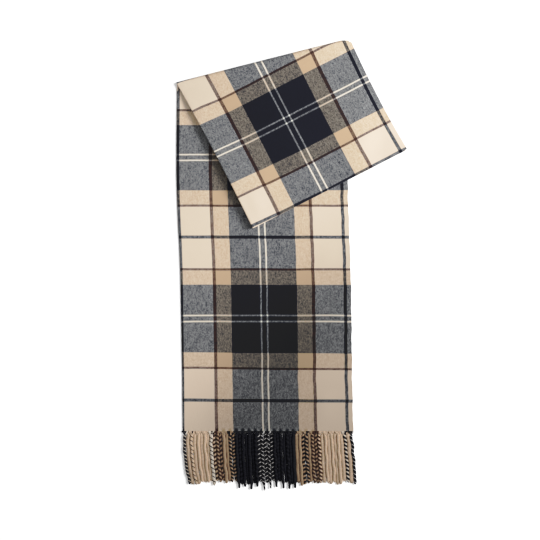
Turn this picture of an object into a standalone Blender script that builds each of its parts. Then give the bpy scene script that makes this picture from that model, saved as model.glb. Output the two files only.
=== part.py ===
"""Tartan blanket scarf, doubled along its length and laid flat, with its upper end turned down over itself.

Metres, +Z up. The cloth lies on Z = 0 with +Y up the long run and +X towards its selvedges, and
the origin is under the middle of the whole outline. A run is the cloth doubled: two walls joined
by the lengthwise fold on its left, open at the selvedges on its right.
"""

import math
import random

import bmesh
import bpy
from mathutils import Vector
from numpy import interp

# The cloth
WALL = 0.0014
SEAM = 0.0003
RUN_THICK = 2 * WALL + SEAM
RUN_WIDTH = 0.354
SELVEDGE_STEP = 0.004
SHORT_LAYER = 1 - SELVEDGE_STEP / RUN_WIDTH

# The long run lies on the table: its fold and its selvedge drift to the right towards the hem
HEM_Y = -0.348
LONG_RUN_EDGES = (
    # y, fold x, selvedge x
    (-0.348, -0.2283, 0.1263),
    (-0.232, -0.2303, 0.1232),
    (0.072, -0.2378, 0.1173),
    (0.460, -0.2398, 0.1176),
)

# The top fold, where the long run turns over into the turned run
TOP_FOLD_LEFT = Vector((-0.2393, 0.3764))
TOP_FOLD_RIGHT = Vector((0.1184, 0.4675))
TOP_CORNER_ROUND = 0.006
TOP_CORNER_SHARE = 0.06
SEAM_FROM_TOP_FOLD = 0.018
CLOSES_IN_FROM = 0.8
ROLL_HEIGHT = (
    # share of the width, height of the roll
    (0.00, 0.0074),
    (0.10, 0.0092),
    (0.25, 0.0112),
    (0.50, 0.0120),
    (0.85, 0.0114),
    (1.00, 0.0096),
)

# The bottom fold, where the turned run goes back under itself
BOTTOM_FOLD_LEFT = Vector((-0.0804, 0.0756))
BOTTOM_FOLD_RIGHT = Vector((0.2382, 0.2359))
BOTTOM_TUCK = 0.004
FOLD_EDGE_BOW = 0.0027
SELVEDGE_BOW = -0.0040

# The hidden runs under the turned run
HIDDEN_SEAM = 0.0005
TOP_HIDDEN_RUN = RUN_THICK + SEAM
LOWER_HIDDEN_RUN = 0.0029
LOWEST_RUN_STARTS = 0.22
LOWEST_RUN_FULL = 0.46
CORNER_RISE = 0.24
RAMP_STARTS = 0.016
RAMP_LENGTH = 0.060
HIDDEN_TOP_EDGE = (
    # share of the width, share of the run's length where the hidden runs start
    (0.00, 0.17),
    (0.25, 0.06),
    (1.00, 0.06),
)
HIDDEN_SIDES = (
    # share of the lower runs, share of the top run, in from fold side, selvedges, top and bottom
    (0.00, 0.00, 0.0060, 0.0064, 0.0060, 0.0040),
    (0.12, 0.00, 0.0036, 0.0040, 0.0040, 0.0022),
    (0.36, 0.00, 0.0036, 0.0042, 0.0040, 0.0022),
    (0.50, 0.00, 0.0062, 0.0072, 0.0062, 0.0046),
    (0.64, 0.00, 0.0046, 0.0056, 0.0024, 0.0034),
    (0.90, 0.00, 0.0046, 0.0054, 0.0024, 0.0034),
    (1.00, 0.00, 0.0068, 0.0078, 0.0044, 0.0052),
    (1.00, 0.20, 0.0034, 0.0044, 0.0018, 0.0043),
    (1.00, 0.76, 0.0034, 0.0042, 0.0018, 0.0043),
    (1.00, 1.00, 0.0060, 0.0070, 0.0042, 0.0058),
)

# The fringe: twisted cords rooted in a narrow strip along each layer's hem
CORDS_A_LAYER = 27
CORD_LENGTH = 0.112
CORD_THICK = 0.0042
CORD_OFF_TABLE = 0.0004
LEAN_VARIES = 0.0008
SHORTEST_CORD = 0.95
LONGEST_CORD = 1.03
UNDER_CORDS_REACH = 0.97
STRIP_DEPTH = 0.0016
ROOT_WIDTH = 0.0034
CORD_LEAN = (
    # share of the width, sideways reach of the tips
    (0.00, 0.0140),
    (0.35, 0.0060),
    (0.70, 0.0050),
    (1.00, 0.0110),
)
CORD_STATIONS = (
    # share of the length, share of the thickness, share of the lean
    (0.06, 1.00, 0.02),
    (0.38, 1.00, 0.30),
    (0.72, 0.98, 0.68),
    (1.00, 0.62, 1.00),
)

# Colours of the solids: the cloth's mean on each run, and the cords'
LONG_RUN_COLOUR = (0.62, 0.53, 0.42)
TURNED_RUN_COLOUR = (0.66, 0.57, 0.45)
HIDDEN_COLOUR = (0.45, 0.40, 0.33)
CORD_COLOUR = (0.50, 0.43, 0.34)
FABRIC_ROUGHNESS = 0.9
SHARP_EDGE = math.radians(50)

# How finely the walls are divided
COLUMNS = 20
FOLD_TURN = (135, 180, 225)
LONG_STATIONS = 13
TURNED_STATIONS = 16
ROLL_ANGLES = (-90, -60, -30, 0, 30, 60)
TUCK_ANGLES = (60, 30, 0, -30, -60, -90)
HIDDEN_COLUMNS = 20
HIDDEN_ROWS = 16

UP = Vector((0, 0, 1))


def column(table, share, place=1):
    """One column of a table at a share of its first column."""
    return float(interp(share, [row[0] for row in table], [row[place] for row in table]))


def smooth(value, start, end):
    share = min(max((value - start) / (end - start), 0), 1)
    return share * share * (3 - 2 * share)


def flat_point(plan, height):
    return Vector((plan.x, plan.y, height))


def scene_collection(name):
    for thing in list(bpy.data.objects):
        bpy.data.objects.remove(thing)
    collection = bpy.data.collections.new(name)
    bpy.context.scene.collection.children.link(collection)
    return collection


def fabric(name, colour):
    material = bpy.data.materials.new(name)
    material.use_nodes = True
    shader = material.node_tree.nodes["Principled BSDF"]
    shader.inputs["Base Color"].default_value = (*colour, 1)
    shader.inputs["Roughness"].default_value = FABRIC_ROUGHNESS
    shader.inputs["Metallic"].default_value = 0
    return material


def finished(bm, name, collection, colour):
    bmesh.ops.recalc_face_normals(bm, faces=bm.faces)
    mesh = bpy.data.meshes.new(name)
    bm.to_mesh(mesh)
    bm.free()
    mesh.materials.append(fabric(name, colour))
    mesh.shade_smooth()
    mesh.set_sharp_from_angle(angle=SHARP_EDGE)
    piece = bpy.data.objects.new(name, mesh)
    collection.objects.link(piece)
    return piece


def skin(bm, rows):
    """A grid of faces over rows of points, returned as rows of vertices."""
    made = [[bm.verts.new(point) for point in row] for row in rows]
    for near, far in zip(made, made[1:]):
        for i in range(len(near) - 1):
            bm.faces.new((near[i], near[i + 1], far[i + 1], far[i]))
    return made


def rim(rows):
    """The border of a grid of vertices, as one loop."""
    right = [row[-1] for row in rows[1:-1]]
    left = [row[0] for row in rows[1:-1]]
    return rows[0] + right + rows[-1][::-1] + left[::-1]


def join_loops(bm, near, far):
    for i in range(len(near)):
        j = (i + 1) % len(near)
        bm.faces.new((near[i], near[j], far[j], far[i]))


def run_wall(bm, stations, upper_share, under_share):
    """Builds a doubled wall. A station gives the upper face's point and outward direction at a share
    of the width; the wall runs from the upper selvedge round the lengthwise fold to the under one."""
    outer_rows = []
    inner_rows = []
    fold_share = RUN_THICK / 2 / RUN_WIDTH
    shares = [fold_share + (1 - fold_share) * i / COLUMNS for i in range(COLUMNS + 1)]
    for station in stations:
        outer, inner = [], []
        for share in reversed(shares):
            point, out = station(min(share, upper_share))
            outer.append(point)
            inner.append(point - out * WALL)
        point, out = station(fold_share)
        side = (station(shares[1])[0] - point).normalized()
        centre = point - out * RUN_THICK / 2
        for degrees in FOLD_TURN:
            angle = math.radians(degrees)
            ray = side * math.cos(angle) + out * math.sin(angle)
            outer.append(centre + ray * RUN_THICK / 2)
            inner.append(centre + ray * SEAM / 2)
        for share in shares:
            point, out = station(min(share, under_share))
            outer.append(point - out * RUN_THICK)
            inner.append(point - out * (RUN_THICK - WALL))
        outer_rows.append(outer)
        inner_rows.append(inner)
    join_loops(bm, rim(skin(bm, outer_rows)), rim(skin(bm, inner_rows)))


# The top fold: a roll whose axis slants across the long run
FOLD_WAY = (TOP_FOLD_RIGHT - TOP_FOLD_LEFT).normalized()
FOLD_OUT = Vector((-FOLD_WAY.y, FOLD_WAY.x))
SLANT = FOLD_WAY.y / FOLD_WAY.x
BOTTOM_WAY = (BOTTOM_FOLD_RIGHT - BOTTOM_FOLD_LEFT).normalized()
BOTTOM_OUT = Vector((BOTTOM_WAY.y, -BOTTOM_WAY.x))
TUCK_RADIUS = RUN_THICK + HIDDEN_SEAM / 2


def top_fold_line(share):
    """The outermost line of the roll in plan. Its selvedge end is rounded back."""
    corner = max(0, share - 1 + TOP_CORNER_SHARE) / TOP_CORNER_SHARE
    return TOP_FOLD_LEFT.lerp(TOP_FOLD_RIGHT, share) - FOLD_OUT * TOP_CORNER_ROUND * corner**2


def bottom_fold_line(share):
    return BOTTOM_FOLD_LEFT.lerp(BOTTOM_FOLD_RIGHT, share)


def roll_plan(share, angle, radius):
    """A point of the roll in plan: going round it, the cloth also climbs along its slanted axis."""
    reach = radius * (math.cos(angle) - 1)
    climb = radius * angle * SLANT
    return top_fold_line(share) + FOLD_OUT * reach + FOLD_WAY * climb


def roll_station(degrees):
    angle = math.radians(degrees)

    def station(share):
        radius = column(ROLL_HEIGHT, share) / 2
        out = flat_point(FOLD_OUT * math.cos(angle), math.sin(angle))
        return flat_point(roll_plan(share, angle, radius), radius + radius * math.sin(angle)), out

    return station


def seam_plan(share, from_fold):
    """Where the turned run's wall starts, flat on the table inside the roll."""
    radius = column(ROLL_HEIGHT, share) / 2
    further = from_fold - radius
    start = roll_plan(share, -math.pi / 2, radius)
    return start - FOLD_OUT * further - FOLD_WAY * further * SLANT


def seam_station(share):
    return flat_point(seam_plan(share, SEAM_FROM_TOP_FOLD - SEAM / 2), 0), -UP


def turned_plan(share, down):
    """The turned run in plan, from the roll (down 0) to the bottom fold's turn (down 1)."""
    start = roll_plan(share, math.pi / 2, column(ROLL_HEIGHT, share) / 2)
    end = bottom_fold_line(share) - BOTTOM_OUT * TUCK_RADIUS
    bow = FOLD_EDGE_BOW + (SELVEDGE_BOW - FOLD_EDGE_BOW) * share
    return start.lerp(end, down) + BOTTOM_WAY * bow * 4 * down * (1 - down)


def support_drop(plan):
    """How far the stack sinks right of the long run, where it lies on the table instead."""
    edge = column(LONG_RUN_EDGES, plan.y, 2)
    start = edge + RAMP_STARTS
    return (RUN_THICK + SEAM) * smooth(plan.x, start, start + RAMP_LENGTH)


def turned_height(share, down):
    """The upper face of the turned run."""
    two_hidden = RUN_THICK + SEAM + LOWER_HIDDEN_RUN + TOP_HIDDEN_RUN + HIDDEN_SEAM + RUN_THICK
    lowest = LOWER_HIDDEN_RUN * smooth(down, LOWEST_RUN_STARTS, LOWEST_RUN_FULL)
    stack = two_hidden + lowest - support_drop(turned_plan(share, down))
    roll = column(ROLL_HEIGHT, share)
    return roll + (stack - roll) * smooth(down, 0, CORNER_RISE)


def turned_station(down):
    def station(share):
        return flat_point(turned_plan(share, down), turned_height(share, down)), UP

    return station


def tuck_station(degrees, further=0.0):
    """Round the bottom fold, from the upper face to the tucked under one."""
    angle = math.radians(degrees)

    def station(share):
        reach = BOTTOM_OUT * (TUCK_RADIUS * (math.cos(angle) - 1) - further)
        height = turned_height(share, 1) - TUCK_RADIUS + TUCK_RADIUS * math.sin(angle)
        out = flat_point(BOTTOM_OUT * math.cos(angle), math.sin(angle))
        return flat_point(bottom_fold_line(share) + reach, height), out

    return station


def make_long_run(collection):
    def long_station(up):
        def station(share):
            end = seam_plan(share, SEAM_FROM_TOP_FOLD + SEAM / 2)
            y = HEM_Y + (end.y - HEM_Y) * up
            fold = column(LONG_RUN_EDGES, y, 1)
            selvedge = column(LONG_RUN_EDGES, y, 2)
            across = Vector((fold + (selvedge - fold) * share, y))
            # Near the top the sides close in on the roll's own ends
            plan = across.lerp(Vector((end.x, y)), smooth(up, CLOSES_IN_FROM, 1))
            return flat_point(plan, RUN_THICK), UP

        return station

    bm = bmesh.new()
    stations = [long_station(i / (LONG_STATIONS - 1)) for i in range(LONG_STATIONS)]
    run_wall(bm, stations, 1, SHORT_LAYER)
    return finished(bm, "long_run", collection, LONG_RUN_COLOUR)


def make_turned_run(collection):
    steps = TURNED_STATIONS - 1
    stations = [seam_station]
    stations += [roll_station(degrees) for degrees in ROLL_ANGLES]
    stations += [turned_station(i / steps) for i in range(TURNED_STATIONS)]
    stations += [tuck_station(degrees) for degrees in TUCK_ANGLES]
    stations.append(tuck_station(-90, BOTTOM_TUCK))
    bm = bmesh.new()
    run_wall(bm, stations, SHORT_LAYER, 1)
    return finished(bm, "turned_run", collection, TURNED_RUN_COLOUR)


def make_hidden_layers(collection):
    """The tucked away runs as one solid, grooved at its sides where one run lies on the next."""

    def place(i, j, level):
        of_lower, of_top, fold_side, selvedge_side, top_side, bottom_side = level
        low, high = fold_side / RUN_WIDTH, 1 - selvedge_side / RUN_WIDTH
        share = low + (high - low) * i / HIDDEN_COLUMNS
        length = (turned_plan(share, 1) - turned_plan(share, 0)).length
        start = column(HIDDEN_TOP_EDGE, share) + top_side / length
        down = start + (1 - bottom_side / length - start) * j / HIDDEN_ROWS
        plan = turned_plan(share, down)
        ceiling = turned_height(share, down) - RUN_THICK - HIDDEN_SEAM
        floor = RUN_THICK + SEAM - support_drop(plan)
        lower = ceiling - TOP_HIDDEN_RUN - floor
        return flat_point(plan, floor + of_lower * lower + of_top * TOP_HIDDEN_RUN)

    def rows(level):
        return [[place(i, j, level) for i in range(HIDDEN_COLUMNS + 1)] for j in range(HIDDEN_ROWS + 1)]

    bm = bmesh.new()
    under = rim(skin(bm, rows(HIDDEN_SIDES[0])))
    over = rim(skin(bm, rows(HIDDEN_SIDES[-1])))
    for level in HIDDEN_SIDES[1:-1]:
        loop = [bm.verts.new(point) for point in rim(rows(level))]
        join_loops(bm, under, loop)
        under = loop
    join_loops(bm, under, over)
    return finished(bm, "hidden_layers", collection, HIDDEN_COLOUR)


def make_fringe(name, collection, seed, strip_heights, first_share, count, reach):
    """One layer's cords, extruded from the front of the strip that their roots are fused into."""
    rng = random.Random(seed)
    pitch = 1 / CORDS_A_LAYER
    low, high = strip_heights
    back, front = HEM_Y - SEAM, HEM_Y - SEAM - STRIP_DEPTH
    fold, selvedge = LONG_RUN_EDGES[0][1], LONG_RUN_EDGES[0][2]
    roots = [first_share + pitch * i for i in range(count)]
    places = [fold + RUN_THICK / 2]
    for share in roots:
        middle = fold + (selvedge - fold) * share
        places += [middle - ROOT_WIDTH / 2, middle + ROOT_WIDTH / 2]
    places.append(fold + (selvedge - fold) * SHORT_LAYER)

    bm = bmesh.new()
    rings = []
    for x in places:
        corners = ((back, low), (back, high), (front, high), (front, low))
        rings.append([bm.verts.new((x, y, z)) for y, z in corners])
    bm.faces.new(rings[0])
    bm.faces.new(rings[-1])
    root_faces = []
    for i, (near, far) in enumerate(zip(rings, rings[1:])):
        for j in range(4):
            k = (j + 1) % 4
            face = bm.faces.new((near[j], near[k], far[k], far[j]))
            if j == 2 and i % 2 == 1:
                root_faces.append(face)

    for share, face in zip(roots, root_faces):
        middle = face.calc_center_median()
        from_middle = [vertex.co - middle for vertex in face.verts]
        signs = [(math.copysign(1, way.x), math.copysign(1, way.z)) for way in from_middle]
        lean = column(CORD_LEAN, share) + rng.uniform(-LEAN_VARIES, LEAN_VARIES)
        length = CORD_LENGTH * reach * rng.uniform(SHORTEST_CORD, LONGEST_CORD)
        for along, thick, leaning in CORD_STATIONS:
            face = bmesh.ops.extrude_discrete_faces(bm, faces=[face])["faces"][0]
            half = CORD_THICK * thick / 2
            x = middle.x + lean * leaning
            z = CORD_OFF_TABLE + half
            for vertex, (side, above) in zip(face.verts, signs):
                vertex.co = (x + side * half, front - length * along, z + above * half)
    return finished(bm, name, collection, CORD_COLOUR)


def centre_on_outline(pieces):
    """Moves every mesh so that the origin is under the middle of the whole outline."""
    points = [vertex.co for piece in pieces for vertex in piece.data.vertices]
    middle = Vector([(min(p[i] for p in points) + max(p[i] for p in points)) / 2 for i in range(2)])
    for piece in pieces:
        for vertex in piece.data.vertices:
            vertex.co -= flat_point(middle, 0)


def main():
    collection = scene_collection("tartan_blanket_scarf")
    upper_strip = (RUN_THICK - WALL, RUN_THICK)
    under_strip = (SEAM, WALL)
    pitch = 1 / CORDS_A_LAYER
    centre_on_outline(
        [
            make_long_run(collection),
            make_turned_run(collection),
            make_hidden_layers(collection),
            make_fringe("fringe_upper", collection, 3, upper_strip, pitch / 2, CORDS_A_LAYER, 1),
            make_fringe(
                "fringe_under", collection, 8, under_strip, pitch, CORDS_A_LAYER - 1, UNDER_CORDS_REACH
            ),
        ]
    )


main()
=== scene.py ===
"""The tartan blanket scarf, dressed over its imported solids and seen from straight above.

Metres, +Z up, in the solids' own frame. A run is the cloth doubled: two layers joined by the
lengthwise fold on the left, open at the selvedges on the right. The plan sizes are those of the
part's source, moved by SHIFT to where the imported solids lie.
"""

import math
import random
from collections import namedtuple
from types import SimpleNamespace

import bpy
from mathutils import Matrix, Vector
from numpy import interp


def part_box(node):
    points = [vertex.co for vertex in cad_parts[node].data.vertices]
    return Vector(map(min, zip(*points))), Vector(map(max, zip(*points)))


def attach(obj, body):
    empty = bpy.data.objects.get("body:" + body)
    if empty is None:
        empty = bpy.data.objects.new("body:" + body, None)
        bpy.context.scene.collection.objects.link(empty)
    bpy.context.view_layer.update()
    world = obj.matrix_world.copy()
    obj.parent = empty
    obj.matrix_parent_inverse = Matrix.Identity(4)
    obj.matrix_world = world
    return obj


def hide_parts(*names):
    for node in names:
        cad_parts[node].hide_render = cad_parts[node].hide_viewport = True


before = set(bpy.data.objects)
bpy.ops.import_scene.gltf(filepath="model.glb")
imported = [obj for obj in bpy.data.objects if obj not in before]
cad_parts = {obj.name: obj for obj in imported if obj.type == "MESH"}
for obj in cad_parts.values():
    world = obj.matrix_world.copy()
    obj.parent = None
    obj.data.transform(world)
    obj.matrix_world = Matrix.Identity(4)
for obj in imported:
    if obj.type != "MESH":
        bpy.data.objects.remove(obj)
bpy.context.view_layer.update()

# The cloth; the selvedge of one layer stops short of the other's, at a share of the width
WALL = 0.0013
RUN_THICK = 0.0031
HIDDEN_THICK = 0.0028
BETWEEN_RUNS = 0.0003
RUN_WIDTH = 0.354
FOLD_SHARE = RUN_THICK / 2 / RUN_WIDTH
SHORT_LAYER = 0.9887

# The long run: its fold and its selvedge drift to the right towards the hem
HEM_Y = -0.348
LONG_RUN_EDGES = (
    # y, fold x, selvedge x
    (-0.348, -0.2283, 0.1263),
    (-0.232, -0.2294, 0.1239),
    (-0.113, -0.2314, 0.1225),
    (-0.030, -0.2330, 0.1212),
    (0.040, -0.2356, 0.1189),
    (0.072, -0.2376, 0.1176),
    (0.132, -0.2400, 0.1154),
    (0.184, -0.2414, 0.1144),
    (0.300, -0.2414, 0.1150),
    (0.460, -0.2398, 0.1176),
)

# The top fold, where the long run turns over into the turned run
TOP_FOLD_LEFT = Vector((-0.2413, 0.3764))
TOP_FOLD_RIGHT = Vector((0.1184, 0.4675))
TOP_CORNER_ROUND = 0.006
TOP_CORNER_SHARE = 0.06
SEAM_FROM_TOP_FOLD = 0.018
CLOSES_IN_FROM = 0.8
CLIMBS_FROM = 0.1
ROLL_HEIGHT = (
    # share of the width, height of the roll
    (0.00, 0.0074),
    (0.10, 0.0092),
    (0.25, 0.0112),
    (0.50, 0.0120),
    (0.85, 0.0114),
    (1.00, 0.0096),
)

# The bottom fold, where the turned run goes back under itself, and the hidden runs
BOTTOM_FOLD_LEFT = Vector((-0.0823, 0.0723))
BOTTOM_FOLD_RIGHT = Vector((0.2382, 0.2359))
FOLD_EDGE_BOW = 0.0027
SELVEDGE_BOW = -0.0040
UNDER_TURNED_RUN = 0.0005
LOWEST_RUN_STARTS = 0.22
LOWEST_RUN_FULL = 0.46
CORNER_RISE = 0.24
RAMP_STARTS = 0.016
RAMP_LENGTH = 0.060
HIDDEN_STACK = 0.0102
HIDDEN_THICK_FROM = 0.9
LOWER_HIDDEN_RUN = 0.0029
HIDDEN_FOLDS_FROM = (
    # share of the width, share of the run's length where the hidden runs fold back
    (0.00, 0.22),
    (0.25, 0.16),
    (1.00, 0.16),
)

# The solids are centred on their outline, and the fringe's left end and the hem give the move
ROOT_STRIP_LEFT = LONG_RUN_EDGES[0][1] + RUN_THICK / 2
SHIFT = Vector((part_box("fringe_upper")[0][0] - ROOT_STRIP_LEFT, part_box("long_run")[0][1] - HEM_Y))

UP = Vector((0, 0, 1))

# Yarns: linear colours
CREAM = (0.700, 0.580, 0.465)
TAN = (0.490, 0.361, 0.243)
BROWN = (0.072, 0.041, 0.034)
BLACK = (0.021, 0.022, 0.031)
WHITE = (0.660, 0.660, 0.595)

# Half a repeat of the tartan, from the middle of the single black stripe to the middle of the block
HALF_REPEAT = 0.1690
REPEAT = 2 * HALF_REPEAT
WARP_SETT = (
    # where the stripe ends, its yarn
    (0.0031, BLACK),
    (0.0632, CREAM),
    (0.0699, BROWN),
    (0.1006, TAN),
    (0.1610, BLACK),
    (0.1643, WHITE),
    (0.1690, BLACK),
)
WEFT_SETT = (
    # where the stripe ends, its yarn
    (0.0027, BLACK),
    (0.0642, CREAM),
    (0.0690, BROWN),
    (0.0990, TAN),
    (0.1610, BLACK),
    (0.1643, WHITE),
    (0.1690, BLACK),
)

# Where the stripes lie on each run
# (shares of the width, and distances from the middle of the black stripe)
FOLD_IN_BLACK_STRIPE = -0.0013
BLACK_STRIPE_ENDS = (
    # length of cloth from the hem, share of the width where the black stripe by the fold ends
    (0.00, 0.0100),
    (0.06, 0.0105),
    (0.22, 0.0125),
    (0.45, 0.0165),
    (0.78, 0.0178),
)
LONG_LEFT_BROWN_SHARE = 0.1891
LONG_RIGHT_BROWN_SHARE = 0.780
LONG_SELVEDGE_DISTANCE = 0.3505
TURNED_BROWN_SHARE = 0.170
TURNED_BLACK_SHARE = 0.960
BROWN_DISTANCE = 0.0665
WEFT_PLACES = (
    # y of the long run, length of cloth from the hem
    (-0.348, 0.0016),
    (-0.283, 0.0658),
    (-0.215, 0.1340),
    (-0.113, 0.2356),
    (0.055, 0.4032),
    (0.122, 0.4721),
    (0.184, 0.5342),
    (0.319, 0.6749),
    (0.420, 0.7801),
)
WEFT_DROOPS = 0.0025
WEFT_DROOPS_OVER = (-0.11, -0.21)
HEM_TO_BLACK_STRIPE = 0.0652
TURNED_LENGTH_SPREAD = 1.013
REPEATS_TO_BOTTOM_FOLD = 4
BLACK_STRIPE_AT_BOTTOM_FOLD = HEM_TO_BLACK_STRIPE + REPEATS_TO_BOTTOM_FOLD * REPEAT
STRIPES_SHIFTED = (
    # share of the width, how far the stripes are moved at the top fold and at the bottom fold
    (0.00, 0.0015, 0.0025),
    (0.06, 0.0012, 0.0016),
    (0.12, 0.0000, 0.0008),
    (0.20, -0.0020, -0.0004),
    (0.35, -0.0024, -0.0012),
    (0.50, -0.0022, -0.0025),
    (0.75, -0.0020, -0.0007),
    (1.00, -0.0018, 0.0004),
)
PULLED_AT_CORNER = 0.0042
PULLED_SHARE = 0.12
PULLED_DOWN = 0.18

# Soft creases of the outer layer; a ridge lifts it, a trough lets it down on the layer below
LONG_RUN_CREASES = (
    # x, y, way it runs in degrees, half its length, half its width, height
    (-0.063, 0.020, 98, 0.030, 0.020, 0.0009),
    (-0.044, -0.196, 93, 0.052, 0.021, 0.0011),
    (-0.176, -0.125, 87, 0.080, 0.022, 0.0008),
    (-0.197, 0.165, 101, 0.040, 0.015, 0.0006),
    (0.064, -0.298, 84, 0.034, 0.019, 0.0008),
    (0.080, -0.262, 4, 0.050, 0.010, -0.0003),
    (0.072, 0.012, 79, 0.034, 0.024, 0.0008),
    (0.094, -0.110, 96, 0.060, 0.016, 0.0006),
    (-0.150, -0.300, 68, 0.036, 0.017, 0.0007),
)
TURNED_RUN_CREASES = (
    (-0.078, 0.130, 121, 0.044, 0.019, 0.0009),
    (0.160, 0.262, 33, 0.046, 0.018, 0.0008),
    (0.082, 0.338, 115, 0.045, 0.022, 0.0011),
    (-0.174, 0.276, 112, 0.034, 0.013, 0.0009),
    (0.010, 0.240, 127, 0.075, 0.026, 0.0008),
    (0.030, 0.180, 24, 0.050, 0.012, -0.0003),
    (-0.100, 0.320, 20, 0.055, 0.013, 0.0006),
    (0.128, 0.385, 102, 0.030, 0.015, 0.0007),
)
INNER_FOLLOWS = 0.25

# Where the creases start and where they are whole, going away from the folds and the hem
LONG_CREASES_BY_FOLD = (0.01, 0.10)
LONG_CREASES_BY_HEM = (HEM_Y, HEM_Y + 0.025)
TURNED_CREASES_BY_FOLD = (0.005, 0.06)
TURNED_CREASES_BY_TOP = (0, 0.10)
TURNED_CREASES_BY_BOTTOM = (1, 0.92)

SELVEDGE_WAVES = (
    # period, reach
    (0.0290, 0.00030),
    (0.0730, 0.00045),
)

# How finely the layers are divided: in metres, then in shares of a run's length or width
FINE_STEP = 0.004
COARSE_STEP = 0.014
TURNED_LENGTH = 0.29
TURNED_STEP = FINE_STEP / TURNED_LENGTH
HIDDEN_STEP = 0.06
BACK_UP_STARTS = 0.015
LOWEST_STARTS = 0.03
SIDE_STEP = 0.05
ROUNDING = 1e-6

# Each fold in degrees: from, to, widest step
NOSE_DEGREES = (112.5, 247.5, 22.5)
ROLL_DEGREES = (-90, 75, 15)
TUCK_DEGREES = (70, -90, 20)
UPPER_INNER_DEGREES = (30, 150, 30)
LOWER_INNER_DEGREES = (65, -90, 30)
SMOOTH_BELOW = math.radians(50)


def column(table, at, place=1):
    """One column of a table at a value of its first column."""
    return float(interp(at, [row[0] for row in table], [row[place] for row in table]))


def smooth(value, start, end):
    share = min(max((value - start) / (end - start), 0), 1)
    return share * share * (3 - 2 * share)


def steps(start, end, size):
    """Evenly spaced values from start to end, no further apart than size."""
    count = max(1, math.ceil(abs(end - start) / size - ROUNDING))
    return [start + (end - start) * i / count for i in range(count + 1)]


def raised(plan, height):
    """A plan point at a height, moved into the solids' frame."""
    return Vector((plan.x + SHIFT.x, plan.y + SHIFT.y, height))


def put_in_scene(name, data):
    placed = bpy.data.objects.new(name, data)
    bpy.context.scene.collection.objects.link(placed)
    return placed


def select_only(piece):
    bpy.ops.object.select_all(action="DESELECT")
    piece.select_set(True)
    bpy.context.view_layer.objects.active = piece


# The runs' form, worked out as in the solids
FOLD_WAY = (TOP_FOLD_RIGHT - TOP_FOLD_LEFT).normalized()
FOLD_OUT = Vector((-FOLD_WAY.y, FOLD_WAY.x))
SLANT = FOLD_WAY.y / FOLD_WAY.x
BOTTOM_WAY = (BOTTOM_FOLD_RIGHT - BOTTOM_FOLD_LEFT).normalized()
BOTTOM_OUT = Vector((BOTTOM_WAY.y, -BOTTOM_WAY.x))
TUCK_RADIUS = RUN_THICK + UNDER_TURNED_RUN / 2


def upright(way, height):
    """A way in plan that also climbs."""
    return Vector((way.x, way.y, height))


def top_fold_line(share):
    corner = max(0, share - 1 + TOP_CORNER_SHARE) / TOP_CORNER_SHARE
    return TOP_FOLD_LEFT.lerp(TOP_FOLD_RIGHT, share) - FOLD_OUT * TOP_CORNER_ROUND * corner**2


def bottom_fold_line(share):
    return BOTTOM_FOLD_LEFT.lerp(BOTTOM_FOLD_RIGHT, share)


def roll_plan(share, angle, radius):
    """Going round the roll, the cloth also climbs along its slanted axis."""
    reach = radius * (math.cos(angle) - 1)
    climb = radius * angle * SLANT * smooth(share, 0, CLIMBS_FROM)
    return top_fold_line(share) + FOLD_OUT * reach + FOLD_WAY * climb


def seam_plan(share, from_fold):
    radius = column(ROLL_HEIGHT, share) / 2
    further = from_fold - radius
    start = roll_plan(share, -math.pi / 2, radius)
    return start - FOLD_OUT * further - FOLD_WAY * further * SLANT


def turned_plan(share, down):
    """The turned run's plan: its long edges bow sideways, most at their middle."""
    start = roll_plan(share, math.pi / 2, column(ROLL_HEIGHT, share) / 2)
    end = bottom_fold_line(share) - BOTTOM_OUT * TUCK_RADIUS
    bow = FOLD_EDGE_BOW + (SELVEDGE_BOW - FOLD_EDGE_BOW) * share
    return start.lerp(end, down) + BOTTOM_WAY * bow * 4 * down * (1 - down)


def turned_length(share):
    return (turned_plan(share, 1) - turned_plan(share, 0)).length


def support_drop(plan):
    """How far the stack sinks right of the long run, where it lies on the table instead."""
    start = column(LONG_RUN_EDGES, plan.y, 2) + RAMP_STARTS
    return (RUN_THICK + BETWEEN_RUNS) * smooth(plan.x, start, start + RAMP_LENGTH)


def turned_height(share, down):
    lowest = LOWER_HIDDEN_RUN * smooth(down, LOWEST_RUN_STARTS, LOWEST_RUN_FULL)
    stack = RUN_THICK + HIDDEN_STACK + lowest - support_drop(turned_plan(share, down))
    roll = column(ROLL_HEIGHT, share)
    return roll + (stack - roll) * smooth(down, 0, CORNER_RISE)


def turned_cloth_place(share, down):
    """Length of cloth from the hem, at a point of the turned run."""
    to_fold = (1 - down) * turned_length(share) * TURNED_LENGTH_SPREAD
    shift = column(STRIPES_SHIFTED, share, 1) * (1 - down**2) + column(STRIPES_SHIFTED, share, 2) * down**2
    shift += PULLED_AT_CORNER * smooth(share, PULLED_SHARE, 0) * smooth(down, PULLED_DOWN, 0)
    return BLACK_STRIPE_AT_BOTTOM_FOLD + shift - to_fold


def creased(creases, plan):
    """How far the soft creases lift the outer layer at a plan point."""
    lifted = 0
    for x, y, degrees, half_length, half_width, height in creases:
        way = Vector((math.cos(math.radians(degrees)), math.sin(math.radians(degrees))))
        offset = plan - Vector((x, y))
        along = offset.dot(way) / half_length
        across = (offset.x * way.y - offset.y * way.x) / half_width
        lifted += height * math.exp(-(along**2) - across**2)
    return lifted


def selvedge_wave(y):
    return sum(reach * math.sin(2 * math.pi * y / period) for period, reach in SELVEDGE_WAVES)


# A station of a run gives a spot for each share of the width: a point of the run's outer face, the way
# out of that face, the run's thickness, how far its outer layer is lifted, and the cloth from the hem
Spot = namedtuple("Spot", "point out thick lift along")


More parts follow.
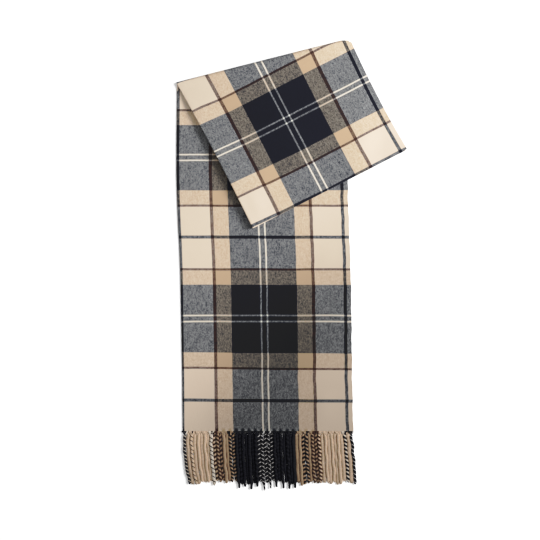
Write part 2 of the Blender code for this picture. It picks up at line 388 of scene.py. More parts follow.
def long_station(up):
    def station(share):
        end = seam_plan(share, SEAM_FROM_TOP_FOLD)
        y = HEM_Y + (end.y - HEM_Y) * up
        fold = column(LONG_RUN_EDGES, y, 1)
        selvedge = column(LONG_RUN_EDGES, y, 2) + selvedge_wave(y)
        across = Vector((fold + (selvedge - fold) * share, y))
        plan = across.lerp(Vector((end.x, y)), smooth(up, CLOSES_IN_FROM, 1))
        place = column(WEFT_PLACES, y) + WEFT_DROOPS * share * smooth(y, *WEFT_DROOPS_OVER)
        lift = creased(LONG_RUN_CREASES, plan)
        lift *= smooth(share, *LONG_CREASES_BY_FOLD) * smooth(y, *LONG_CREASES_BY_HEM)
        return Spot(raised(plan, RUN_THICK), UP, RUN_THICK, lift, place)

    return station


def seam_station(share):
    radius = column(ROLL_HEIGHT, share) / 2
    back = (SEAM_FROM_TOP_FOLD - radius + radius * math.pi) * math.hypot(1, SLANT)
    place = turned_cloth_place(share, 0) - back
    return Spot(raised(seam_plan(share, SEAM_FROM_TOP_FOLD), 0), -UP, RUN_THICK, 0, place)


def roll_station(degrees):
    angle = math.radians(degrees)

    def station(share):
        radius = column(ROLL_HEIGHT, share) / 2
        out = upright(FOLD_OUT * math.cos(angle), math.sin(angle))
        point = raised(roll_plan(share, angle, radius), radius + radius * math.sin(angle))
        back = radius * (math.pi / 2 - angle) * math.hypot(1, SLANT)
        return Spot(point, out, RUN_THICK, 0, turned_cloth_place(share, 0) - back)

    return station


def turned_station(down):
    def station(share):
        plan = turned_plan(share, down)
        lift = creased(TURNED_RUN_CREASES, plan) * smooth(share, *TURNED_CREASES_BY_FOLD)
        lift *= smooth(down, *TURNED_CREASES_BY_TOP) * smooth(down, *TURNED_CREASES_BY_BOTTOM)
        point = raised(plan, turned_height(share, down))
        return Spot(point, UP, RUN_THICK, lift, turned_cloth_place(share, down))

    return station


def tuck_station(degrees):
    """Round the bottom fold, from the upper face to the tucked under one."""
    angle = math.radians(degrees)

    def station(share):
        reach = BOTTOM_OUT * TUCK_RADIUS * (math.cos(angle) - 1)
        height = turned_height(share, 1) - TUCK_RADIUS + TUCK_RADIUS * math.sin(angle)
        out = upright(BOTTOM_OUT * math.cos(angle), math.sin(angle))
        place = turned_cloth_place(share, 1) + TUCK_RADIUS * (math.pi / 2 - angle)
        return Spot(raised(bottom_fold_line(share) + reach, height), out, RUN_THICK, 0, place)

    return station


def hidden_height(share, down):
    """The underside of the run that comes back up beneath the turned one."""
    return turned_height(share, down) - 2 * TUCK_RADIUS


def hidden_thickness(down):
    return RUN_THICK + (HIDDEN_THICK - RUN_THICK) * smooth(down, 1, HIDDEN_THICK_FROM)


def back_up_station(further):
    """The run's way back beneath the turned one, from the bottom fold to where it folds again."""

    def station(share):
        down = 1 + (column(HIDDEN_FOLDS_FROM, share) - 1) * further
        point = raised(turned_plan(share, down), hidden_height(share, down))
        place = turned_cloth_place(share, 1) + TUCK_RADIUS * math.pi + (1 - down) * turned_length(share)
        return Spot(point, -UP, hidden_thickness(down), 0, place)

    return station


def upper_inner_fold_station(degrees):
    """Where the run coming back up folds under itself: its outer face is inside this fold."""
    angle = math.radians(degrees)

    def station(share):
        down = column(HIDDEN_FOLDS_FROM, share)
        away = (turned_plan(share, 0) - turned_plan(share, 1)).normalized()
        way = upright(away * math.sin(angle), math.cos(angle))
        middle = raised(turned_plan(share, down), hidden_height(share, down) - BETWEEN_RUNS / 2)
        place = back_up_station(1)(share).along + BETWEEN_RUNS / 2 * angle
        return Spot(middle + way * BETWEEN_RUNS / 2, -way, HIDDEN_THICK, 0, place)

    return station


def down_again_station(further):
    def station(share):
        start = column(HIDDEN_FOLDS_FROM, share)
        down = start + (1 - start) * further
        point = raised(turned_plan(share, down), hidden_height(share, down) - BETWEEN_RUNS)
        place = back_up_station(1)(share).along + (down - start) * turned_length(share)
        return Spot(point, UP, HIDDEN_THICK, 0, place)

    return station


def lower_inner_fold_station(degrees):
    angle = math.radians(degrees)
    radius = HIDDEN_THICK + BETWEEN_RUNS / 2

    def station(share):
        start = down_again_station(1)(share)
        out = upright(BOTTOM_OUT * math.cos(angle), math.sin(angle))
        point = start.point - UP * radius + out * radius
        return Spot(point, out, HIDDEN_THICK, 0, start.along + radius * (math.pi / 2 - angle))

    return station


def lowest_station(further):
    """The last stretch, which lies on the long run and ends in the far fringe."""

    def station(share):
        down = 1 + (LOWEST_RUN_FULL - 1) * further
        height = hidden_height(share, down) - 2 * BETWEEN_RUNS - 2 * HIDDEN_THICK
        folded = lower_inner_fold_station(LOWER_INNER_DEGREES[1])(share)
        place = folded.along + (1 - down) * turned_length(share)
        return Spot(raised(turned_plan(share, down), height), -UP, HIDDEN_THICK, 0, place)

    return station


def given_thickness(piece):
    wall = piece.modifiers.new("Wall", "SOLIDIFY")
    wall.thickness = WALL
    wall.offset = 0
    select_only(piece)
    bpy.ops.object.modifier_apply(modifier=wall.name)
    bpy.ops.object.shade_smooth_by_angle(angle=SMOOTH_BELOW)
    return piece


def nose_points(station, stripe_place):
    """Round the lengthwise fold, from the outer layer to the inner one."""
    point, out, thick, _, along = station(FOLD_SHARE)
    side = (station(FOLD_SHARE + SIDE_STEP).point - point).normalized()
    side = (side - out * side.dot(out)).normalized()
    centre = point - out * thick / 2
    radius = (thick - WALL) / 2
    across = stripe_place(FOLD_SHARE, along)
    for degrees in steps(*NOSE_DEGREES):
        angle = math.radians(degrees)
        ray = side * math.cos(angle) + out * math.sin(angle)
        yield centre + ray * radius, (across - (thick / 2) * (angle - math.pi / 2), along)


def cloth_row(station, outer, inner, stripe_place):
    """A station's points and their places on the cloth, from the outer selvedge to the inner one."""
    row = []
    for share in outer:
        point, out, _, lift, along = station(share)
        row.append((point + out * (lift - WALL / 2), (stripe_place(share, along), along)))
    row += nose_points(station, stripe_place)
    fold = station(FOLD_SHARE)
    inner_fold = stripe_place(FOLD_SHARE, fold.along) - fold.thick / 2 * math.pi
    for share in inner:
        point, out, thick, lift, along = station(share)
        depth = thick - WALL / 2 - INNER_FOLLOWS * max(lift, 0)
        row.append((point - out * depth, (inner_fold - (share - FOLD_SHARE) * RUN_WIDTH, along)))
    return row


def doubled_cloth(name, stations, outer_share, inner_share, stripe_place):
    """Both layers of a run as one sheet, from the outer selvedge round the fold to the inner one."""
    outer = steps(outer_share, FOLD_SHARE, FINE_STEP / RUN_WIDTH)
    inner = steps(FOLD_SHARE, inner_share, COARSE_STEP / RUN_WIDTH)
    rows = [cloth_row(station, outer, inner, stripe_place) for station in stations]
    in_row = len(rows[0])
    faces = []
    for near in range((len(rows) - 1) * in_row):
        if (near + 1) % in_row:
            faces.append((near, near + in_row, near + in_row + 1, near + 1))
    mesh = bpy.data.meshes.new(name)
    mesh.from_pydata([point for row in rows for point, _ in row], [], faces)
    places = [place for row in rows for _, place in row]
    weave = mesh.uv_layers.new(name="Weave")
    for loop in mesh.loops:
        weave.data[loop.index].uv = places[loop.vertex_index]
    return given_thickness(put_in_scene(name, mesh))


def make_long_run():
    end = seam_plan(0.5, SEAM_FROM_TOP_FOLD).y
    ups = [(y - HEM_Y) / (end - HEM_Y) for y in steps(HEM_Y, end, FINE_STEP)]

    def stripe_place(share, along):
        black_ends = column(BLACK_STRIPE_ENDS, along)
        shares = (0, black_ends, LONG_LEFT_BROWN_SHARE, LONG_RIGHT_BROWN_SHARE, 1)
        by_fold = (FOLD_IN_BLACK_STRIPE, WARP_SETT[0][0], WARP_SETT[1][0])
        return float(interp(share, shares, (*by_fold, REPEAT - BROWN_DISTANCE, LONG_SELVEDGE_DISTANCE)))

    return doubled_cloth("long_run_cloth", [long_station(up) for up in ups], 1, SHORT_LAYER, stripe_place)


def make_turned_run():
    slope = (REPEAT - BROWN_DISTANCE) / (TURNED_BLACK_SHARE - TURNED_BROWN_SHARE)

    def stripe_place(share, along):
        return BROWN_DISTANCE + (share - TURNED_BROWN_SHARE) * slope

    stations = [seam_station]
    stations += [roll_station(degrees) for degrees in steps(*ROLL_DEGREES)]
    stations += [turned_station(down) for down in steps(0, 1, TURNED_STEP)]
    stations += [tuck_station(degrees) for degrees in steps(*TUCK_DEGREES)]
    stations += [back_up_station(further) for further in steps(BACK_UP_STARTS, 1, HIDDEN_STEP)]
    stations += [upper_inner_fold_station(degrees) for degrees in steps(*UPPER_INNER_DEGREES)]
    stations += [down_again_station(further) for further in steps(0, 1, HIDDEN_STEP)]
    stations += [lower_inner_fold_station(degrees) for degrees in steps(*LOWER_INNER_DEGREES)]
    stations += [lowest_station(further) for further in steps(LOWEST_STARTS, 1, HIDDEN_STEP)]
    return doubled_cloth("turned_run_cloth", stations, SHORT_LAYER, 1, stripe_place)


# The tartan's material


def put_node(tree, kind, **settings):
    made = tree.nodes.new(kind)
    for name, value in settings.items():
        setattr(made, name, value)
    return made


def calculate(tree, operation, first, second=None, third=None):
    made = put_node(tree, "ShaderNodeMath", operation=operation)
    for socket, value in zip(made.inputs, (first, second, third)):
        if value is None:
            continue
        if isinstance(value, (int, float)):
            socket.default_value = value
        else:
            tree.links.new(value, socket)
    return made.outputs[0]


def limited(tree, value):
    """A value kept between 0 and 1."""
    return calculate(tree, "MINIMUM", calculate(tree, "MAXIMUM", value, 0.0), 1.0)


# The mix node's sockets for a share and two colours, and for the colour that it gives
MIX_INPUTS = (0, 6, 7)
MIX_OUTPUT = 2


def mixed(tree, share, first, second, blend="MIX"):
    made = put_node(tree, "ShaderNodeMix", data_type="RGBA", blend_type=blend)
    for place, value in zip(MIX_INPUTS, (share, first, second)):
        if isinstance(value, (int, float)):
            made.inputs[place].default_value = value
        elif isinstance(value, tuple):
            made.inputs[place].default_value = (*value, 1)
        else:
            tree.links.new(value, made.inputs[place])
    return made.outputs[MIX_OUTPUT]


def striped(tree, sett, distance):
    """The tartan's stripes over a distance from the middle of a single black one."""
    place = calculate(tree, "PINGPONG", distance, HALF_REPEAT)
    ramp = put_node(tree, "ShaderNodeValToRGB")
    ramp.color_ramp.interpolation = "CONSTANT"
    tree.links.new(calculate(tree, "DIVIDE", place, HALF_REPEAT), ramp.inputs[0])
    stops = ramp.color_ramp.elements
    stops[0].color = (*sett[0][1], 1)
    stops[1].position = sett[0][0] / HALF_REPEAT
    stops[1].color = (*sett[1][1], 1)
    for (start, _), (_, yarn) in zip(sett[1:], sett[2:]):
        stops.new(start / HALF_REPEAT).color = (*yarn, 1)
    return ramp.outputs[0]


def single_black_stripe(tree, sett, distance):
    """1 in a single black stripe, and 0 beside it."""
    place = calculate(tree, "PINGPONG", distance, HALF_REPEAT)
    return calculate(tree, "LESS_THAN", place, sett[0][0])


CORDS_A_LAYER = 27
CORD_PITCH = RUN_WIDTH / CORDS_A_LAYER

# Which yarn is on top: each pattern's cells in a metre, its stretch over width and length, its weight
THREAD = 0.0007
WARP_SHOWS = 0.52
TWILL_SHOWS = 0.22
STRIPE_PACKED = 0.13
NAP_CELLS = 90
NAP_DETAIL = 3
NAP_BLURS_TWILL = 14
SPECK_CELLS = 700
SPECK_STRETCH = (1, 0.65)
SPECKS_SHOW = 0.68
SLUB_CELLS = 230
SOFT_DETAIL = 2
SLUB_STRETCH = (1, 0.25)
SLUBS_SHOW = 0.33
PICK_STRETCH = (0.25, 1)
PICKS_SHOW = 0.17
ACROSS_CELLS = 14
ACROSS_WANDER = 0.0012
ALONG_CELLS = 11
ALONG_WANDER = 0.0022

# The gaps that the warp leaves at the hem, one for each cord
HEM_GAP_TURN = 2 * math.pi / CORD_PITCH
HEM_GAP_OFFSET = 0.0043
HEM_GAP_NARROWED = 0.25
HEM_GAP_LENGTH = 0.0075
HEM_GAP_DEPTH = 1.27
HEM_GAP_SHOWS = 0.9

# Painted shade: how a pale yarn is darkened and cooled between dark ones, as if in their shadow
PAINTED_SHADE_FROM = 0.215
PAINTED_SHADE_RANGE = 0.18
STEEPER_BY_BROWN = 0.5
PAINTED_SHADE_BY_BLACK = (0.440, 0.535, 0.655)
TAN_PAINTED_SHADE_BY_BLACK = (0.420, 0.552, 0.715)
WHITE_PAINTED_SHADE_BY_BLACK = (0.415, 0.425, 0.475)
PAINTED_SHADE_BY_BROWN = (0.420, 0.420, 0.460)
DARK_YARN_SHOWS = 0.45

# The finish of both materials, and the relief of their threads and fibres
SPECULAR = 0.15
SHEEN = 0.10
SHEEN_ROUGHNESS = 0.5
ROUGHNESS = 0.88
ROUGHNESS_VARIES = 0.15
RELIEF_STRENGTH = 0.4
TWILL_RELIEF = 0.0003
FIBRE_RELIEF = 0.0002
FIBRES_AROUND = 8
FIBRES_A_METRE = 300
FIBRES_VARY = 0.4


def uneven_over(tree, pattern, place, scale, stretch):
    """A pattern's value around nought, its cells stretched over the two ways of the place."""
    spread = put_node(tree, "ShaderNodeMapping")
    spread.inputs["Scale"].default_value = (*stretch, 1)
    tree.links.new(place, spread.inputs["Vector"])
    tree.links.new(spread.outputs[0], pattern.inputs["Vector"])
    pattern.inputs["Scale"].default_value = scale
    value = "Fac" if pattern.bl_idname == "ShaderNodeTexNoise" else "Color"
    return calculate(tree, "SUBTRACT", pattern.outputs[value], 0.5)


def clouded(tree, place, scale, detail, stretch=(1, 1)):
    noise = put_node(tree, "ShaderNodeTexNoise", noise_dimensions="2D")
    noise.inputs["Detail"].default_value = detail
    return uneven_over(tree, noise, place, scale, stretch)


def specked(tree, place, scale, stretch):
    cells = put_node(tree, "ShaderNodeTexVoronoi", voronoi_dimensions="2D")
    return uneven_over(tree, cells, place, scale, stretch)


def between(tree, colour, first, second, by=0):
    """How far a colour has gone from one yarn to another, by its red, or its blue if by is 2."""
    parts = put_node(tree, "ShaderNodeSeparateColor")
    tree.links.new(colour, parts.inputs[0])
    gone = calculate(tree, "SUBTRACT", parts.outputs[by], first[by])
    return limited(tree, calculate(tree, "DIVIDE", gone, second[by] - first[by]))


def new_material(name):
    material = bpy.data.materials.new(name)
    material.use_nodes = True
    return material, material.node_tree, material.node_tree.nodes["Principled BSDF"]


def give_relief(tree, surface, height, depth, rough):
    """The relief of threads or fibres, as deep as a change of 1 in height, and their roughness."""
    relief = put_node(tree, "ShaderNodeBump")
    relief.inputs["Strength"].default_value = RELIEF_STRENGTH
    relief.inputs["Distance"].default_value = depth
    tree.links.new(height, relief.inputs["Height"])
    tree.links.new(relief.outputs[0], surface.inputs["Normal"])
    roughness = calculate(tree, "MULTIPLY_ADD", rough, ROUGHNESS_VARIES, ROUGHNESS)
    tree.links.new(roughness, surface.inputs["Roughness"])


def twilled(tree, weave, across, along, slubs):
    """How much of the warp is on top: the twill's diagonals, blurred by the nap, and uneven yarn."""
    nap = clouded(tree, weave, NAP_CELLS, NAP_DETAIL)
    wander = calculate(tree, "MULTIPLY", nap, NAP_BLURS_TWILL)
    diagonal = calculate(tree, "ADD", across, along)
    twill = calculate(tree, "SINE", calculate(tree, "MULTIPLY_ADD", diagonal, math.pi / 2 / THREAD, wander))
    specks = specked(tree, weave, SPECK_CELLS, SPECK_STRETCH)
    picks = clouded(tree, weave, SLUB_CELLS, SOFT_DETAIL, PICK_STRETCH)
    on_top = calculate(tree, "MULTIPLY_ADD", specks, SPECKS_SHOW, WARP_SHOWS)
    on_top = calculate(tree, "MULTIPLY_ADD", slubs, SLUBS_SHOW, on_top)
    on_top = calculate(tree, "MULTIPLY_ADD", picks, PICKS_SHOW, on_top)
    return calculate(tree, "MULTIPLY_ADD", twill, TWILL_SHOWS, on_top)


def weft_at_hem(tree, across, along):
    """How much the last weft threads show at the hem, where the warp gathers into the cords."""
    turn = calculate(tree, "MULTIPLY_ADD", across, HEM_GAP_TURN, HEM_GAP_OFFSET * HEM_GAP_TURN)
    gap = calculate(tree, "SUBTRACT", calculate(tree, "COSINE", turn), HEM_GAP_NARROWED)
    by_hem = calculate(tree, "MULTIPLY_ADD", along, -1 / HEM_GAP_LENGTH, HEM_GAP_DEPTH)
    return calculate(tree, "MULTIPLY", gap, calculate(tree, "MAXIMUM", by_hem, 0.0))


def painted_shade_between_dark_yarns(tree, cloth, warp, weft):
    """Painted shade: pale threads between dark ones are darkened and lose their warmth, as if in their
    shadow, and the darker yarn's colour shows over them.
    """
    contrast = put_node(tree, "ShaderNodeRGBToBW")
    tree.links.new(mixed(tree, 1.0, warp, weft, "DIFFERENCE"), contrast.inputs[0])
    darker_yarn = mixed(tree, 1.0, warp, weft, "DARKEN")
    lighter_yarn = mixed(tree, 1.0, warp, weft, "LIGHTEN")
    by_brown = between(tree, darker_yarn, BLACK, BROWN)
    of_tan = between(tree, lighter_yarn, CREAM, TAN)
    of_white = between(tree, lighter_yarn, CREAM, WHITE, by=2)
    beyond = calculate(tree, "SUBTRACT", contrast.outputs[0], PAINTED_SHADE_FROM)
    steep = 1 / PAINTED_SHADE_RANGE
    steepness = calculate(tree, "MULTIPLY_ADD", by_brown, STEEPER_BY_BROWN * steep, steep)
    painted_shade_share = limited(tree, calculate(tree, "MULTIPLY", beyond, steepness))
    # The painted shade's colour, by the pale yarn and by whether the dark one is black or brown
    painted_shade = mixed(tree, of_tan, PAINTED_SHADE_BY_BLACK, TAN_PAINTED_SHADE_BY_BLACK)
    painted_shade = mixed(tree, of_white, painted_shade, WHITE_PAINTED_SHADE_BY_BLACK)
    painted_shade = mixed(tree, painted_shade_share, (1, 1, 1), mixed(tree, by_brown, painted_shade, PAINTED_SHADE_BY_BROWN))
    cloth = mixed(tree, 1.0, cloth, painted_shade, "MULTIPLY")
    return mixed(tree, calculate(tree, "MULTIPLY", painted_shade_share, DARK_YARN_SHOWS), cloth, darker_yarn, "ADD")


def tartan_twill():
    material, tree, surface = new_material("tartan_twill")
    weave = put_node(tree, "ShaderNodeUVMap", uv_map="Weave").outputs[0]
    parts = put_node(tree, "ShaderNodeSeparateXYZ")
    tree.links.new(weave, parts.inputs[0])
    across, along = parts.outputs[0], parts.outputs[1]
    slubs = clouded(tree, weave, SLUB_CELLS, SOFT_DETAIL, SLUB_STRETCH)
    warp_on_top = twilled(tree, weave, across, along, slubs)
    hem_weft = weft_at_hem(tree, across, along)
    warp_on_top = calculate(tree, "MULTIPLY_ADD", hem_weft, -HEM_GAP_SHOWS, warp_on_top)

    # The stripes' edges follow their threads, which aren't quite straight
    across_clouds = clouded(tree, weave, ACROSS_CELLS, SOFT_DETAIL)
    along_clouds = clouded(tree, weave, ALONG_CELLS, SOFT_DETAIL)
    across = calculate(tree, "MULTIPLY_ADD", across_clouds, ACROSS_WANDER, across)
    along = calculate(tree, "MULTIPLY_ADD", along_clouds, ALONG_WANDER, along)
    along = calculate(tree, "SUBTRACT", along, HEM_TO_BLACK_STRIPE)
    warp = striped(tree, WARP_SETT, across)
    weft = striped(tree, WEFT_SETT, along)

    # A single black stripe is packed closer, so more of it shows
    black_warp = single_black_stripe(tree, WARP_SETT, across)
    black_weft = single_black_stripe(tree, WEFT_SETT, along)
    packed = calculate(tree, "SUBTRACT", black_warp, black_weft)
    warp_on_top = limited(tree, calculate(tree, "MULTIPLY_ADD", packed, STRIPE_PACKED, warp_on_top))

    # The woven colour, with painted shade on pale threads between dark ones
    cloth = painted_shade_between_dark_yarns(tree, mixed(tree, warp_on_top, weft, warp), warp, weft)
    tree.links.new(cloth, surface.inputs["Base Color"])
    give_relief(tree, surface, warp_on_top, TWILL_RELIEF, slubs)
    surface.inputs["Specular IOR Level"].default_value = SPECULAR
    surface.inputs["Sheen Weight"].default_value = SHEEN
    surface.inputs["Sheen Roughness"].default_value = SHEEN_ROUGHNESS
    return material


def twisted_yarn():
    material, tree, surface = new_material("twisted_yarn")
    yarn = put_node(tree, "ShaderNodeAttribute", attribute_name="Yarn").outputs["Color"]
    strand = put_node(tree, "ShaderNodeUVMap", uv_map="Strand").outputs[0]
    fibres = clouded(tree, strand, 1, SOFT_DETAIL, (FIBRES_AROUND, FIBRES_A_METRE))
    streaks = calculate(tree, "MULTIPLY_ADD", fibres, FIBRES_VARY, 1.0)
    tree.links.new(mixed(tree, 1.0, yarn, streaks, "MULTIPLY"), surface.inputs["Base Color"])
    give_relief(tree, surface, fibres, FIBRE_RELIEF, fibres)
    surface.inputs["Specular IOR Level"].default_value = SPECULAR
    return material


# The fringe: each layer's warp ends, twisted into soft cords of four strands

# Black, cream, tan, brown, white and grey yarn
FRINGE_YARNS = {
    "K": (0.018, 0.018, 0.024),
    "C": (0.770, 0.597, 0.445),
    "T": (0.500, 0.370, 0.265),
    "B": (0.100, 0.058, 0.046),
    "W": (0.860, 0.770, 0.660),
    "G": (0.680, 0.660, 0.640),
}
# How far the cords' roots lie below the face of the layer that they grow from
UPPER_ROOT_SUNK = 0.0006
UNDER_ROOT_SUNK = 0.0005

# A layer's cords are given by their yarns in turn from the fold; a + marks one that hangs longer
UPPER_FRINGE = SimpleNamespace(
    name="fringe_upper_cords",
    cords=(
        "KKKW CCKC CC CC WWKW BT TT KT KK+ KK+ KK+ KK+ KKKG+ KKKG+ KK+ KK+ KK+ KK+ "
        "TT TK TB BC CC CC CC WK KKKG"
    ),
    seed=3,
    first_share=0.5 / CORDS_A_LAYER,
    reach=1,
    root_height=RUN_THICK - UPPER_ROOT_SUNK,
    cord_height=0.0042,
    widened=1,
    hand=-1,
)
UNDER_FRINGE = SimpleNamespace(
    name="fringe_under_cords",
    cords=(
        "CC CC CC CC BC BT TT KT KK KK KK KKKG KKKG KKKG KK KK KK "
        "TT TK TT BT CC CC CC CC CC"
    ),
    seed=8,
    first_share=1 / CORDS_A_LAYER,
    reach=0.97,
    root_height=WALL - UNDER_ROOT_SUNK,
    cord_height=0.0026,
    widened=1.28,
    hand=1,
)
CORD_LENGTH = 0.112
LONGER_BY = (0.005, 0.012)
LEAN_VARIES = 0.0008
SHORTEST_CORD = 0.95
LONGEST_CORD = 1.03
CORD_LEAN = (
    # share of the width, sideways reach at the root and after each quarter of the length
    (0.00, -0.0025, -0.0031, -0.0015, 0.0033, 0.0095),
    (0.10, 0.0000, 0.0000, 0.0016, 0.0045, 0.0085),
    (0.35, 0.0000, 0.0008, 0.0022, 0.0040, 0.0060),
    (0.70, 0.0000, 0.0008, 0.0020, 0.0035, 0.0050),
    (0.90, 0.0000, 0.0018, 0.0037, 0.0055, 0.0075),
    (1.00, 0.0015, 0.0050, 0.0080, 0.0100, 0.0115),
)
QUARTERS = (0.00, 0.25, 0.50, 0.75, 1.00)
TWIST_PITCH = (0.0072, 0.0092)
TWIST_VARIES = 0.30
TWIST_STARTS = 0.010
ROOT_BACK = 0.0002
ROOT_HALF = (0.0018, 0.00045)
STRANDS = 4
STRAND_FROM_MIDDLE = 0.0014
STRAND_HALF = (0.00185, 0.00205)
STRAND_OF_MIXED_CORD = {"K": 1.05, "B": 1.00, "T": 0.85, "C": 0.85, "W": 0.80}
LONE_STRAND = 0.75
STRAND_AMONG_LIKE = 0.30
STRAND_ENDS_EARLY = 0.002
THICKNESS_VARIES = (0.92, 1.16)
CORD_FLATTENED = 0.62
TIP_TAPER = (
    # length left to the tip, share of the thickness
    (0.0000, 0.25),
    (0.0010, 0.60),
    (0.0030, 0.88),
    (0.0060, 1.00),
)
LONG_TIP_TAPER = (
    # length left to the tip, share of the thickness
    (0.0000, 0.50),
    (0.0015, 0.68),
    (0.0090, 0.74),
    (0.0130, 1.00),
)
CORD_WAVE = 0.0002
CORD_WAVES = (
    # period, turns over the run's width, start in radians, share of the reach
    (0.047, 1.7, 0, 1.0),
    (0.031, -3.1, 1, 0.6),
)
OWN_WAVE = 0.0004
OWN_PERIOD = (0.022, 0.045)
CORD_STEP = 0.0009
STRAND_SIDES = 6
YARN_VARIES = (0.92, 1.05)
BLACK_VARIES = (0.65, 1.70)


def leaning(share, along):
    """How far a cord of a share of the width has swung aside at a share of its length."""
    reaches = [column(CORD_LEAN, share, 1 + place) for place in range(len(QUARTERS))]
    return float(interp(along, QUARTERS, reaches))


def swaying(share, along):
    """Neighbouring cords sway much alike."""
    sway = 0
    for period, turns, start, part in CORD_WAVES:
        sway += part * math.sin(2 * math.pi * (along / period + turns * share) + start)
    return CORD_WAVE * sway


def strand_ring(strand, turn, gathered, thickness, swollen):
    """A strand's outline about its cord's middle: flat at the root, then a quarter of a round cord."""
    ring = []
    for i in range(STRAND_SIDES):
        around = 2 * math.pi * i / STRAND_SIDES
        radial = STRAND_FROM_MIDDLE + STRAND_HALF[0] * swollen * math.cos(around)
        sideways = STRAND_HALF[1] * swollen * math.sin(around)
        twisted_x = (radial * math.cos(turn) - sideways * math.sin(turn)) * thickness
        twisted_z = (radial * math.sin(turn) + sideways * math.cos(turn)) * thickness * CORD_FLATTENED
        root_x = (strand - (STRANDS - 1) / 2) * CORD_PITCH / STRANDS + ROOT_HALF[0] * math.cos(around)
        root_z = ROOT_HALF[1] * math.sin(around)
        ring.append((root_x + (twisted_x - root_x) * gathered, root_z + (twisted_z - root_z) * gathered))
    return ring


def draw_cord(rng, layer, yarns):
    """One cord's own lean, length, waves and twist."""
    cord = SimpleNamespace(letters=yarns.strip("+"), tapering=TIP_TAPER)
    cord.aside = rng.uniform(-LEAN_VARIES, LEAN_VARIES)
    cord.length = CORD_LENGTH * layer.reach * rng.uniform(SHORTEST_CORD, LONGEST_CORD)
    longer = rng.uniform(*LONGER_BY)
    if yarns.endswith("+"):
        cord.length += longer
        cord.tapering = LONG_TIP_TAPER
    cord.waves = [(rng.uniform(*OWN_PERIOD), rng.uniform(0, 2 * math.pi)) for _ in range(2)]
    cord.start = rng.uniform(0, 2 * math.pi)
    cord.pitch = rng.uniform(*TWIST_PITCH)
    cord.thick = rng.uniform(*THICKNESS_VARIES)
    return cord


def strand_thickness(letters, letter):
    """In a cord of two yarns, the strands of each have their own thickness."""
    if len(letters) == 2 and letters[0] != letters[1]:
        return STRAND_OF_MIXED_CORD[letter]
    return LONE_STRAND + STRAND_AMONG_LIKE * letters.count(letter) / len(letters)


def strand_points(layer, cord, share, strand, swollen, end, along):
    """One ring of a strand, at a distance from the hem."""
    fold, selvedge = LONG_RUN_EDGES[0][1:]
    gathered = smooth(along, 0, TWIST_STARTS)
    swing = sum(math.sin(2 * math.pi * along / period + phase) for period, phase in cord.waves)
    turn = cord.start + layer.hand * 2 * math.pi * along / cord.pitch + 2 * math.pi * strand / STRANDS
    turn += TWIST_VARIES * swing
    x = fold + (selvedge - fold) * share + leaning(share, along / cord.length)
    x += cord.aside * max(along, 0) / cord.length + (swaying(share, along) + OWN_WAVE * swing) * gathered
    z = layer.root_height + (layer.cord_height - layer.root_height) * gathered
    middle = raised(Vector((x, HEM_Y - along)), z)
    thickness = cord.thick * column(cord.tapering, end - along)
    wide = 1 + (layer.widened - 1) * gathered
    ring = strand_ring(strand, turn, gathered, thickness, swollen)
    return [middle + Vector((ring_x * wide, 0, ring_z)) for ring_x, ring_z in ring]


def tube_faces(first, last):
    """The faces round the rings of points from first up to last, and both ends."""
    faces = []
    for near in range(first, last - STRAND_SIDES, STRAND_SIDES):
        for i in range(STRAND_SIDES):
            j = (i + 1) % STRAND_SIDES
            faces.append((near + i, near + j, near + STRAND_SIDES + j, near + STRAND_SIDES + i))
    faces.append(tuple(reversed(range(first, first + STRAND_SIDES))))
    faces.append(tuple(range(last - STRAND_SIDES, last)))
    return faces


def make_fringe(layer):
    rng = random.Random(layer.seed)
    points, faces, marks = [], [], []
    for number, yarns in enumerate(layer.cords.split()):
        share = layer.first_share + number / CORDS_A_LAYER
        cord = draw_cord(rng, layer, yarns)
        for strand in range(STRANDS):
            letter = cord.letters[strand * len(cord.letters) // STRANDS]
            tint = rng.uniform(*(BLACK_VARIES if letter == "K" else YARN_VARIES))
            yarn = tuple(part * tint for part in FRINGE_YARNS[letter])
            swollen = strand_thickness(cord.letters, letter)
            end = cord.length - rng.uniform(0, STRAND_ENDS_EARLY)
            first = len(points)
            for along in steps(-ROOT_BACK, end, CORD_STEP):
                points += strand_points(layer, cord, share, strand, swollen, end, along)
                marks += [(i / STRAND_SIDES, along, yarn) for i in range(STRAND_SIDES)]
            faces += tube_faces(first, len(points))
    mesh = bpy.data.meshes.new(layer.name)
    mesh.from_pydata(points, [], faces)
    mesh.uv_layers.new(name="Strand")
    mesh.color_attributes.new("Yarn", "FLOAT_COLOR", "CORNER")
    strand_place = mesh.uv_layers["Strand"].data
    yarn_colour = mesh.color_attributes["Yarn"].data
    for loop in mesh.loops:
        around, along, yarn = marks[loop.vertex_index]
        strand_place[loop.index].uv = (around, along)
        yarn_colour[loop.index].color = (*yarn, 1)
    fringe = put_in_scene(layer.name, mesh)
    select_only(fringe)
    bpy.ops.object.mode_set(mode="EDIT")
    bpy.ops.mesh.select_all(action="SELECT")
    bpy.ops.mesh.normals_make_consistent(inside=False)
    bpy.ops.object.mode_set(mode="OBJECT")
    bpy.ops.object.shade_smooth()
    return fringe


# The picture: a plain pale floor, a camera straight above, a window low on the right and a soft fill. The
# floor has lights of its own, as it is much brighter than the cloth

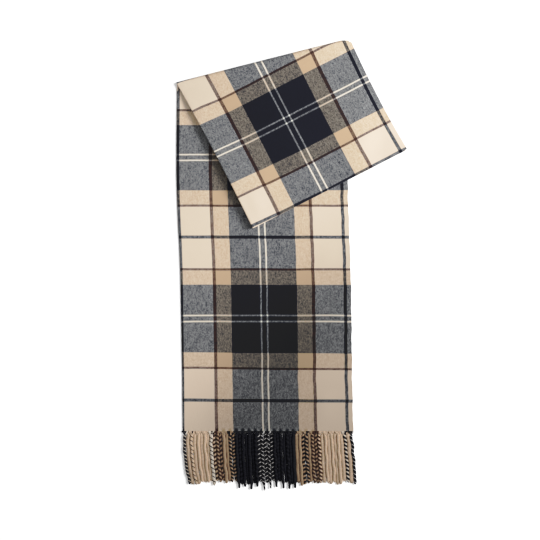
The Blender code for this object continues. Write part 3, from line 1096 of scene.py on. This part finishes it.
PICTURE_PIXELS = 540
PIXEL = 0.002077
CAMERA_HEIGHT = 3.5
CAMERA_OVER = Vector((-0.0456, -0.0123))
SENSOR = 36
FLOOR_SIZE = 8
FLOOR_COLOUR = (0.93, 0.93, 0.93, 1)
FLOOR_ROUGHNESS = 0.9
SKY_STRENGTH = 0.18
CLOTH_LIGHTS = (
    # name, place, where it points, size, watts
    ("window", (1.43, 0.39, 1.06), (0.65, 1.01, 1.06), 0.80, 57.5),
    ("fill", (-0.15, -0.20, 0.70), (-0.93, 0.41, 0.55), 1.00, 3.08),
)
FLOOR_LIGHTS = (
    ("floor_light", (3.0, 0.8, 2.7), (0, 0, 0), 1.8, 250),
    ("floor_fill", (0, 0, 3.0), (0, 0, 0), 2.0, 27),
)
ALL_CHANNELS = 3
TONES = (
    # light from the scene, light in the picture
    (0.0090, 0.0070),
    (0.0180, 0.0150),
    (0.0280, 0.0175),
    (0.0450, 0.0340),
    (0.0695, 0.0580),
    (0.0935, 0.0890),
    (0.1120, 0.1170),
    (0.1660, 0.2060),
    (0.2200, 0.2760),
    (0.2680, 0.3420),
    (0.3800, 0.5000),
    (0.5200, 0.6850),
    (0.8000, 0.9200),
)
WHITE_FROM = 0.95


def make_camera():
    camera = put_in_scene("camera", bpy.data.cameras.new("camera"))
    camera.location = (CAMERA_OVER.x, CAMERA_OVER.y, CAMERA_HEIGHT)
    camera.data.sensor_width = SENSOR
    camera.data.lens = SENSOR * (CAMERA_HEIGHT - RUN_THICK) / (PICTURE_PIXELS * PIXEL)
    bpy.context.scene.camera = camera


def make_light(name, place, aim, size, watts):
    data = bpy.data.lights.new(name, "AREA")
    data.shape = "SQUARE"
    data.size = size
    data.energy = watts
    light = put_in_scene(name, data)
    light.visible_camera = False
    light.location = place
    light.rotation_euler = (Vector(aim) - Vector(place)).to_track_quat("-Z", "Y").to_euler()
    return light


def light_only(name, lights, receivers):
    """Lights that fall on the receivers alone."""
    lit = bpy.data.collections.new(name)
    for receiver in receivers:
        lit.objects.link(receiver)
    for values in lights:
        make_light(*values).light_linking.receiver_collection = lit


def make_studio(pieces):
    bpy.ops.object.select_all(action="DESELECT")
    bpy.ops.mesh.primitive_plane_add(size=FLOOR_SIZE, location=(0, 0, 0))
    floor = bpy.context.object
    floor.name = "floor"
    material, _, surface = new_material("pale_floor")
    surface.inputs["Base Color"].default_value = FLOOR_COLOUR
    surface.inputs["Roughness"].default_value = FLOOR_ROUGHNESS
    floor.data.materials.append(material)

    world = bpy.data.worlds.new("studio")
    world.use_nodes = True
    sky = world.node_tree.nodes["Background"]
    sky.inputs["Color"].default_value = (1, 1, 1, 1)
    sky.inputs["Strength"].default_value = SKY_STRENGTH
    bpy.context.scene.world = world
    light_only("only_the_pieces", CLOTH_LIGHTS, pieces)
    light_only("only_the_floor", FLOOR_LIGHTS, [floor])


def set_tones():
    """A photograph's tones: soft in the highlights, deeper in the darks."""
    view = bpy.context.scene.view_settings
    view.view_transform = "Standard"
    view.use_curve_mapping = True
    tones = view.curve_mapping.curves[ALL_CHANNELS]
    tones.points[0].location = (0, 0)
    tones.points[1].location = (WHITE_FROM, 1)
    for scene_light, shown in TONES:
        tones.points.new(scene_light, shown)
    view.curve_mapping.update()


def main():
    make_camera()
    cloth = tartan_twill()
    yarn = twisted_yarn()
    long_run = make_long_run()
    turned_run = make_turned_run()
    upper = make_fringe(UPPER_FRINGE)
    under = make_fringe(UNDER_FRINGE)
    for piece, material, slot, nodes in (
        (long_run, cloth, "tartan_cloth", ["long_run"]),
        (turned_run, cloth, "tartan_cloth", ["turned_run", "hidden_layers"]),
        (upper, yarn, "fringe_cord", ["fringe_upper"]),
        (under, yarn, "fringe_cord", ["fringe_under"]),
    ):
        piece.data.materials.append(material)
        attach(piece, "root")
        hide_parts(*nodes)
    make_studio((long_run, turned_run, upper, under))
    set_tones()


main()
